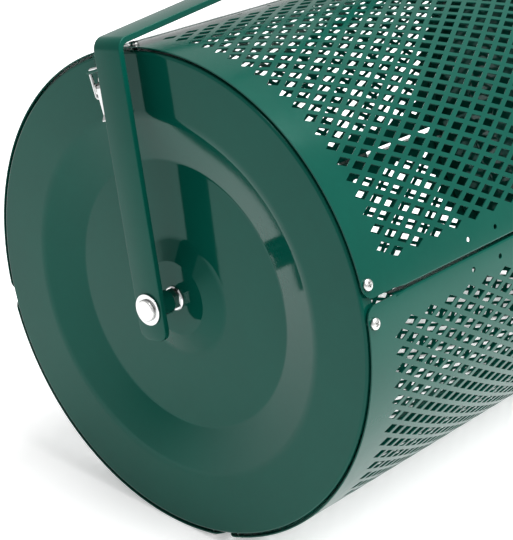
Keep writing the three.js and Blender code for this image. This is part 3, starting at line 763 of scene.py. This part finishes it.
def screw(x, angle, turn, seat=DRUM_R + 0.3):
    """Head and shank along the radius, the recess turned by some angle."""
    out = radial(angle)
    side = X * math.cos(turn) + tangent(angle) * math.sin(turn)
    other = np.cross(out, side)
    base = X * x + out * seat
    head = base + np.outer(head_points[:, 0], side) + np.outer(head_points[:, 1], other)
    head = head + np.outer(head_points[:, 2], out)
    thread = [(-10.0, 0.0), (-10.0, 2.0)]
    for k in range(12):
        thread += [(-9.8 + 0.8 * k, 2.4), (-9.4 + 0.8 * k, 2.05)]
    thread += [(0.05, 2.4), (0.05, 0.0)]
    return joined((head, head_faces), lathe(thread, base, out, 20))


for index, (panel_name, seam_angle) in enumerate(FIXED):
    for end, angle in enumerate(screw_angles(seam_angle)):
        for side, x in (("left", 7 - HALF), ("right", HALF - 7)):
            label = f"screw_{panel_name}_{end + 1}_{side}"
            turn = 0.5 + 1.7 * index + 0.9 * end + (0.6 if side == "right" else 0.0)
            piece(label, screw(x, angle, turn), "drum", "zinc", (label,), bevel=0.12, smooth=40.0)

# ------------------------------------------------------------------ stub axles
head_profile = [(-27.55, 0.0), (-27.55, 7.8), (-27.4, 8.2), (-26.9, 8.7), (-26.2, 8.8), (-25.2, 8.8),
                (-25.2, 5.0)]
for k in range(8):
    head_profile += [(14.2 + 1.2 * k, 5.0), (14.8 + 1.2 * k, 4.5)]
head_profile += [(24.5, 4.6), (24.5, 0.0)]
pair("axle_bolt", lathe(head_profile, LEFT, X, 64), "frame", "zinc", bevel=0.25)
pair("axle_washer", lathe(ring(-24.9, -23.3, 5.5, 12.7), LEFT, X, 72), "frame", "bright", bevel=0.35)
pair("axle_spacer", lathe(ring(-17.7, BOSS - 8.7, 5.5, 9.5), LEFT, X, 64), "frame", "bar", bevel=0.4)


def holed(outer, radius, start, end):
    """Drills a finished solid along the axle."""
    return combined(outer, shape(*lathe(solid_rod(start, end, radius), LEFT, X, 48)), operation="DIFFERENCE")


def both(item, name, body, look, nodes=True, **options):
    """Finishes a left object made by booleans and adds its mirror image."""
    points = (np.array([tuple(v.co) for v in item.data.vertices]) - np.array([0.0, AXIS_Y, AXIS_Z])) * 1000
    faces = [tuple(p.vertices) for p in item.data.polygons]
    bpy.data.objects.remove(item)
    return pair(name, (points, faces), body, look, nodes, **options)


flange_nut = combined(
    shape(*hex_prism(BOSS - 8.4, BOSS - 1.6, 16.0, LEFT, X, phase=0.4)),
    shape(*lathe([(BOSS - 2.1, 0.0), (BOSS - 2.1, 9.2), (BOSS - 1.2, 10.0), (BOSS - 0.3, 10.0),
                  (BOSS - 0.3, 0.0)], LEFT, X, 64)))
both(holed(flange_nut, 5.5, -10, 10), "flange_nut", "frame", "bright", bevel=0.2)
bush_profile = [(BOSS + 0.3, 5.5), (BOSS + 0.3, 8.6), (BOSS + 1.7, 8.6), (BOSS + 1.7, 12.4),
                (BOSS + 2.2, 13.0), (BOSS + 3.2, 13.0), (BOSS + 3.2, 8.6), (BOSS + 8.0, 8.6),
                (BOSS + 8.0, 5.5), (BOSS + 0.3, 5.5)]
pair("hub_bush", lathe(bush_profile, LEFT, X, 64), "drum", "bright", bevel=0.2)
both(holed(shape(*hex_prism(BOSS + 8.4, BOSS + 17, 16.0, LEFT, X)), 5.3, 12, 26), "lock_nut", "frame", "zinc",
     bevel=0.2)


# ------------------------------------------------------------------ yoke
CROSS_FOOT = 207.8
PAD_HALF = 35.0
PAD_HEIGHT = CROSS_FOOT + (ARM_X - PAD_HALF) * math.tan(math.radians(6.2))


def flat_bar():
    """One flat bar bent into two arms and a rising cross bar, with rounded lower ends."""
    corners = [(-ARM_X, -26), (-ARM_X, CROSS_FOOT), (-PAD_HALF, PAD_HEIGHT), (PAD_HALF, PAD_HEIGHT),
               (ARM_X, CROSS_FOOT), (ARM_X, -26)]
    line = bent_line(corners, [7.5, 20, 20, 7.5], 12)
    end_r = 9.0
    heights = [end_r * (1 - math.cos(t)) for t in np.linspace(0, math.pi / 2, 9)]
    first = [(line[0][0] + np.array([0.0, h]), line[0][1]) for h in heights]
    last = [(line[-1][0] + np.array([0.0, h]), line[-1][1]) for h in reversed(heights)]
    widths = [BAR_W / 2 - end_r + math.sqrt(max(0.0, end_r ** 2 - (end_r - h) ** 2)) for h in heights]
    stations = first + line[1:-1] + last
    halves = widths + [BAR_W / 2] * (len(line) - 2) + widths[::-1]
    edge = 0.7
    points, faces = [], []
    ring_size = 0
    for (at, normal), half in zip(stations, halves):
        bar_corners = [(-half, -BAR_T / 2), (half, -BAR_T / 2), (half, BAR_T / 2), (-half, BAR_T / 2)]
        corner = rounded(bar_corners, edge, 4)
        ring_size = len(corner)
        for w, t in corner:
            points.append(X * (at[0] + normal[0] * t) + UP * (at[1] + normal[1] * t) + ACROSS * w)
    for i in range(len(stations) - 1):
        for k in range(ring_size):
            n = (k + 1) % ring_size
            here, after = i * ring_size, (i + 1) * ring_size
            faces.append((here + k, here + n, after + n, after + k))
    faces.append(tuple(range(ring_size)))
    faces.append(tuple(range((len(stations) - 1) * ring_size, len(stations) * ring_size))[::-1])
    return np.array(points), faces


piece("yoke", flat_bar(), "frame", "bar", ("yoke",), bevel=0, smooth=32.0)


# ------------------------------------------------------------------ handle
def along_handle(profile, x=0.0, segments=64):
    return lathe(profile, X * x, UP, segments)


PLATE_BASE = PAD_HEIGHT + BAR_T / 2 + 0.3
PLATE_TOP = PLATE_BASE + 4
JOINT = 560.0
NECK = 60.0
TOP = 920.0
T_HALF = 210.0
LOWER_BOLT = PLATE_TOP + 34
UPPER_BOLT = JOINT + NECK / 2

plate_outline = rounded([(-33, -14), (33, -14), (33, 14), (-33, 14)], 4.0)
socket = combined(
    shape(*prism(plate_outline, 4.0, UP * PLATE_BASE, X, -ACROSS)),
    shape(*along_handle(solid_rod(PLATE_TOP - 1, PLATE_TOP + 60, 15.5))))
socket = combined(socket, shape(*along_handle(solid_rod(PLATE_TOP, PLATE_TOP + 70, 13.0))),
                  operation="DIFFERENCE")
finished(socket, "handle_socket", "frame", "bar", ("handle_socket",), bevel=0.5)
piece("socket_weld", bead(UP * (PLATE_TOP + 0.6), UP, 16.2, 2.0, 26), "frame", "bar", bevel=0, smooth=60.0)
nuts = joined(*[hex_prism(PLATE_TOP, PLATE_TOP + 6, 12.0, X * x, UP) for x in (-24, 24)])
piece("socket_weld_nuts", nuts, "frame", "bar", bevel=0.2)
socket_bolt = [(PAD_HEIGHT - 6.8, 0.0), (PAD_HEIGHT - 6.7, 2.5), (PAD_HEIGHT - 6.2, 5.0),
               (PAD_HEIGHT - 5.0, 7.2),
               (PAD_HEIGHT - 3.6, 8.0), (PAD_HEIGHT - 2.8, 8.0), (PAD_HEIGHT - 2.8, 4.0),
               (PLATE_TOP + 6.9, 4.0), (PLATE_TOP + 7.5, 3.4), (PLATE_TOP + 7.5, 0.0)]
pair("socket_bolt", lathe(socket_bolt, X * -24, UP, 48), "frame", "zinc", bevel=0.2)

lower = [(PLATE_TOP + 0.5, 11.0), (PLATE_TOP + 0.5, 12.5), (JOINT - 3, 12.5), (JOINT - 1.6, 12.1),
         (JOINT, 10.6), (JOINT + NECK, 10.6), (JOINT + NECK, 9.1), (JOINT, 9.1), (JOINT - 5, 11.0),
         (PLATE_TOP + 0.5, 11.0)]
piece("handle_lower_tube", along_handle(lower), "frame", "bar", ("handle_lower_tube",), bevel=0.3)
top_solid = combined(
    shape(*along_handle(solid_rod(JOINT + 0.3, TOP, 12.5))),
    shape(*lathe(solid_rod(-T_HALF, T_HALF, 12.5), UP * TOP, X, 64)))
top_solid = combined(
    top_solid,
    shape(*along_handle(solid_rod(JOINT - 5, TOP - 12, 11.0))),
    shape(*lathe(solid_rod(-T_HALF - 5, T_HALF + 5, 11.0), UP * TOP, X, 64)), operation="DIFFERENCE")
finished(top_solid, "handle_top", "frame", "bar", ("handle_top",), bevel=0.3)


def saddle_bead():
    """The weld where the upright meets the cross tube, following the saddle between two equal tubes."""
    around, section, radius = 144, 10, 13.2
    points, faces = [], []
    for i in range(around):
        t = 2 * math.pi * i / around
        sx, sz = math.cos(t) * radius, math.sin(t) * radius
        drop = math.sqrt(max(13.2 ** 2 - sz ** 2, 0.0))
        centre = UP * (TOP - drop * 0.98 - 0.4) + X * sx + ACROSS * sz
        out = X * math.cos(t) + ACROSS * math.sin(t)
        size = 1.7 * (1 + 0.15 * math.sin(24 * t) + 0.08 * math.sin(5 * t))
        for k in range(section):
            s = 2 * math.pi * k / section
            points.append(centre + out * size * math.cos(s) + UP * size * math.sin(s))
    for i in range(around):
        for k in range(section):
            n, m = (k + 1) % section, (i + 1) % around
            faces.append((i * section + k, m * section + k, m * section + n, i * section + n))
    return np.array(points), faces


piece("handle_top_weld", saddle_bead(), "frame", "bar", bevel=0, smooth=60.0)


def foam_sleeve():
    """A soft sleeve: rolled ends, slightly uneven skin, a little slimmer where it was cut."""
    length, inner, outer, segments = 130.0, 12.7, 16.9, 96
    profile = [(0.6, inner)]
    profile += [(2.4 - 2.2 * math.cos(t), outer - 2.4 + 2.2 * math.sin(t)) for t in np.linspace(0, 1.45, 7)]
    profile += [(d, outer) for d in np.linspace(4.0, length - 4.0, 60)]
    profile += [(length - 2.4 + 2.2 * math.cos(t), outer - 2.4 + 2.2 * math.sin(t))
                for t in np.linspace(1.45, 0, 7)]
    profile += [(length - 0.6, inner), (0.6, inner)]
    origin = UP * TOP - X * T_HALF
    points, faces = lathe(profile, origin, X, segments)
    for i, p in enumerate(points):
        local = p - origin
        off = local - X * (local @ X)
        reach = np.linalg.norm(off)
        if reach > outer - 2.6:
            wobble = noise.noise(Vector(p * 0.045)) * 0.35 + noise.noise(Vector(p * 0.35)) * 0.10
            points[i] = p + off / reach * (wobble - 0.25)
    return points, faces


for grip in pair("foam_grip", foam_sleeve(), "frame", "foam", bevel=0, smooth=60.0):
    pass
plug_profile = [(-3.2, 0.0), (-3.1, 5.0), (-2.7, 9.0), (-1.7, 11.7), (-0.9, 12.4), (-0.3, 12.5), (-0.3, 10.6)]
plug_profile += [(2.0, 10.6), (2.3, 10.9), (2.6, 10.6), (12.0, 10.6), (12.0, 0.0)]
pair("end_plug", lathe(plug_profile, UP * TOP - X * T_HALF, X, 64), "frame", "plastic", bevel=0.15)


def cross_bolt(height, reach):
    base = UP * height
    head = shape(*hex_prism(-reach - 4, -reach, 10.0, base, ACROSS, chamfer=0.9))
    profile = [(-reach - 1, 0.0), (-reach - 1, 3.0)]
    for k in range(9):
        profile += [(reach + 0.5 + k, 3.0), (reach + 1.0 + k, 2.6)]
    profile += [(reach + 9.0, 2.7), (reach + 9.0, 0.0)]
    return combined(head, shape(*lathe(profile, base, ACROSS, 32)))


def wing_nut(height, reach):
    base = UP * height + ACROSS * reach
    hub_profile = [(0, 0.0), (0, 6.0), (1.0, 6.0), (6.0, 5.0), (6.4, 4.4), (6.4, 0.0)]
    hub = shape(*lathe(hub_profile, base, ACROSS, 40))
    wings = []
    for side in (-1, 1):
        outline = [(2.0, 0.8), (6.0, 1.2), (14.6, 4.2), (15.0, 9.5), (13.2, 12.0), (10.6, 11.8), (8.6, 9.0),
                   (5.2, 6.2), (2.0, 6.0)]
        outline = rounded([(side * x, y) for x, y in outline], 0.8, 3)
        wings.append(shape(*prism(outline, 2.2, base, X, ACROSS, centred=True)))
    bore = shape(*lathe(solid_rod(-2, 12, 3.1), base, ACROSS, 32))
    return combined(combined(hub, *wings), bore, operation="DIFFERENCE")


for place, height, reach in (("lower", LOWER_BOLT, 15.8), ("upper", UPPER_BOLT, 12.8)):
    for label, item in ((f"cross_bolt_{place}", cross_bolt(height, reach)),
                        (f"wing_nut_{place}", wing_nut(height, reach))):
        finished(item, label, "frame", "zinc", (label,), bevel=0.35)

# ------------------------------------------------------------------ door hinges
HINGE_AXIS = 204.2
HINGE_MID = -(HALF - HINGE_X)


def hinge_leaf(side, spans):
    """A curved leaf with rounded outer corners, tabs to its knuckles, and the knuckles themselves."""
    seam = SEAM["hinge"]
    base = (DRUM_R + 0.3, 1.3)
    outline = [(-23, 3.9)]
    for start, end in spans:
        outline += [(start, 3.9), (start, 0.8), (end, 0.8), (end, 3.9)]
    outline += [(23, 3.9), (23, 22), (-23, 22)]
    clean = [p for k, p in enumerate(outline) if math.dist(p, outline[k - 1]) > 1e-6]
    outline = dense(rounded(clean, [4.0 if p[1] > 20 else 0.0 for p in clean]), 3.0)
    extra = [(u, v) for u in np.arange(-20, 21, 4.0) for v in np.arange(5.5, 21, 3.0)]
    extra = [e for e in extra if inside_outline(np.array([e]), outline)[0]]
    flat, tri = flat_sheet(outline, [], extra, lambda points: np.zeros(len(points), bool))

    def mapping(u, v):
        n = radial(seam + side * v / DRUM_R)
        return X * (HINGE_MID + u) + n * (base[0] + base[1] / 2), n

    place = [mapping(u, v) for u, v in flat]
    middle = np.array([p for p, _ in place])
    normal = np.array([n for _, n in place])
    count = len(flat)
    points = np.vstack([middle + normal * base[1] / 2, middle - normal * base[1] / 2])
    directed = {(t[k], t[(k + 1) % 3]) for t in tri for k in range(3)}
    faces = [(t[0], t[2], t[1]) for t in tri] + [(t[0] + count, t[1] + count, t[2] + count) for t in tri]
    faces += [(a, b, b + count, a + count) for a, b in directed if (b, a) not in directed]
    leaf = shape(points, faces)
    knuckles = []
    for start, end in spans:
        at = X * HINGE_MID + radial(seam) * HINGE_AXIS
        knuckles.append(shape(*lathe(ring(start, end, 1.8, 3.4), at, X, 40)))
    return combined(leaf, *knuckles)


both(hinge_leaf(-1, [(-23, -8), (8, 23)]), "hinge_leaf_drum", "drum", "zinc", bevel=0.15)
both(hinge_leaf(1, [(-7.6, 7.6)]), "hinge_leaf_door", "door", "zinc", bevel=0.15)
hinge_at = X * HINGE_MID + radial(SEAM["hinge"]) * HINGE_AXIS
pin_profile = [(-24.4, 0.0), (-24.3, 1.2), (-23.9, 1.5), (23.9, 1.5), (24.3, 1.2), (24.4, 0.0)]
pair("hinge_pin", lathe(pin_profile, hinge_at, X, 32), "drum", "zinc", bevel=0)


def rivet(x, angle, seat, radius=3.9, height=1.7):
    profile = [(-2.2, 0.0), (-2.2, 1.9), (0.0, 1.9), (0.0, radius)]
    profile += [(0.25 + (height - 0.25) * math.sin(t), radius * math.cos(t))
                for t in np.linspace(0.1, 1.45, 8)]
    profile.append((height, 0.0))
    return lathe(profile, X * x + radial(angle) * seat, radial(angle), 32)


for label, side, body in (("hinge_rivets_drum", -1, "drum"), ("hinge_rivets_door", 1, "door")):
    angle = SEAM["hinge"] + side * HINGE_HOLE_EDGE / DRUM_R
    rivets = joined(*[rivet(HINGE_MID + d, angle, DRUM_R + 1.65) for d in (-HINGE_SPREAD, HINGE_SPREAD)])
    pair(label, rivets, body, "zinc", replaced=None, bevel=0, smooth=50.0)

# ------------------------------------------------------------------ side latches
LATCH = math.radians(69.7)
A, N, B = radial(LATCH), -X, tangent(LATCH)


def latch_at(a, n, b):
    return LEFT + A * a + N * n + B * b


def latch_prism(outline, half_width):
    """An outline in the plane of the radius and the disc's outward side, spread both ways round the rim."""
    return prism(outline, 2 * half_width, LEFT, A, N, centred=True)


base_plate = shape(*prism(rounded([(152, -9.5), (181, -9.5), (181, 9.5), (152, 9.5)], 2.5), 1.6,
                          LEFT + N * 2.0, A, B))
ears = []
for side in (-1, 1):
    outline = rounded([(166.5, 1.2), (177.5, 1.2), (175.8, 9.0), (168.2, 9.0)], [0, 0, 2.6, 2.6])
    ears.append(shape(*prism(outline, 1.6, LEFT + B * side * 7.3, A, N, centred=True)))
both(combined(base_plate, *ears), "latch_base", "drum", "zinc", bevel=0.2)
latch_rivets = joined(*[
    lathe([(0.0, 0.0), (0.0, 2.6), (0.5, 2.5), (1.0, 1.6), (1.15, 0.0)], latch_at(a, 2.0, b), N, 24)
    for a, b in ((156, -6.8), (156, 6.8), (177.6, 0.0))])
pair("latch_rivets", latch_rivets, "drum", "zinc", replaced=None, bevel=0)

lever_outline = rounded(
    [(175, 4.6), (175, 7.8), (172.5, 9.2), (152, 9.2), (147.8, 12), (146.6, 10.6), (151.4, 7.2), (161.5, 7.2),
     (162.4, 3.4), (165, 2.8), (173, 2.8)],
    [0.8, 1.2, 1.0, 3.0, 0.7, 0.7, 3.0, 0.8, 0.8, 0.8, 1.0], 4)
lever_pin = [(-9, 0.0), (-9, 1.1), (-8.6, 1.5), (8.6, 1.5), (9, 1.1), (9, 0.0)]
lever = combined(
    shape(*latch_prism(lever_outline, 6.0)),
    shape(*lathe(lever_pin, latch_at(172, 6, 0), B, 32)))
both(lever, "latch_lever", "latch_lever_SIDE", "bright", bevel=0.35)

bail_corners = [latch_at(165, 6, 4), latch_at(165, 6, 11.2), latch_at(187.6, 6.2, 11.2),
                latch_at(187.6, 6.2, -11.2), latch_at(165, 6, -11.2), latch_at(165, 6, -4)]
pair("latch_bail", tube_path(bail_corners, 1.3, 2.4), "latch_bail_SIDE", "bright", bevel=0, smooth=50.0)

HOOK_STRAP_R, HOOK_TIP_R = 197.6, 185
HOOK_IN, HOOK_OUT = 2.6, 13.4
hook_line = bent_line(
    [(HOOK_STRAP_R, -20), (HOOK_STRAP_R, HOOK_IN), (HOOK_TIP_R, HOOK_IN), (HOOK_TIP_R, HOOK_OUT),
     (HOOK_TIP_R + 2.3, HOOK_OUT)],
    [2.0, 2.0, 1.5], 6)
pair("latch_hook", latch_prism(strip(hook_line, 0.5, -0.5), 7.0), "door", "bar", bevel=0.2)
hook_rivets = joined(*[
    lathe([(0.0, 0.0), (0.0, 2.8), (0.6, 2.6), (1.1, 1.6), (1.3, 0.0)], latch_at(200.15, -12.5, b), A, 28)
    for b in (-3.9, 3.9)])
pair("hook_rivets", hook_rivets, "door", "zinc", replaced=None, bevel=0)

# ------------------------------------------------------------------ stage
FLOOR_REACH = 9
FLOOR_GLOW = 0.34
SKY = 0.66
floor_mesh = bpy.data.meshes.new("floor")
floor_mesh.from_pydata(
    [(x * FLOOR_REACH, y * FLOOR_REACH, 0) for x, y in ((-1, -1), (1, -1), (1, 1), (-1, 1))],
    [], [(0, 1, 2, 3)])
floor = bpy.data.objects.new("floor", floor_mesh)
bpy.context.scene.collection.objects.link(floor)
floor_material, _, floor_shader, _ = new_material("pale_floor")
floor_shader.inputs["Base Color"].default_value = (0.86, 0.86, 0.86, 1.0)
floor_shader.inputs["Roughness"].default_value = 0.75
floor_shader.inputs["Specular IOR Level"].default_value = 0.2
floor_shader.inputs["Emission Color"].default_value = (1.0, 1.0, 1.0, 1.0)
floor_shader.inputs["Emission Strength"].default_value = FLOOR_GLOW
floor_mesh.materials.append(floor_material)

world = bpy.data.worlds.new("studio")
bpy.context.scene.world = world
world.use_nodes = True
world.node_tree.nodes["Background"].inputs["Color"].default_value = (1.0, 1.0, 1.0, 1.0)
world.node_tree.nodes["Background"].inputs["Strength"].default_value = SKY


def softbox(name, place, target, width, height, power):
    light = bpy.data.lights.new(name, "AREA")
    light.shape = "RECTANGLE"
    light.size, light.size_y = width, height
    light.energy = power
    item = bpy.data.objects.new(name, light)
    bpy.context.scene.collection.objects.link(item)
    item.location = place
    item.rotation_mode = "QUATERNION"
    item.rotation_quaternion = (Vector(target) - Vector(place)).to_track_quat("-Z", "Y")


# the overhead box lights the panels and the bar's top faces; the front one lies beyond the end disc's reach
softbox("overhead", (0.5, -0.6, 3.0), (0.1, 0.0, 0.25), 2.4, 2.0, 150.0)
softbox("front", (0.35, -2.1, 2.0), (0.0, 0.0, 0.25), 1.4, 1.4, 55.0)

# ------------------------------------------------------------------ camera
camera_data = bpy.data.cameras.new("camera")
camera_data.sensor_width = 36.0
camera_data.lens = 112.34
camera_data.clip_start, camera_data.clip_end = 0.05, 50.0
camera = bpy.data.objects.new("camera", camera_data)
bpy.context.scene.collection.objects.link(camera)
CAMERA_PLACE = (-840.8 - HALF, -850.9, 546.7)
elevation, heading = math.radians(23.57), math.radians(42.11)
look = Vector((math.cos(elevation) * math.cos(heading), math.cos(elevation) * math.sin(heading),
               -math.sin(elevation)))
camera.location = placed([CAMERA_PLACE])[0]
camera.rotation_mode = "QUATERNION"
camera.rotation_quaternion = look.to_track_quat("-Z", "Y")
bpy.context.scene.camera = camera
bpy.context.scene.view_settings.view_transform = "Standard"
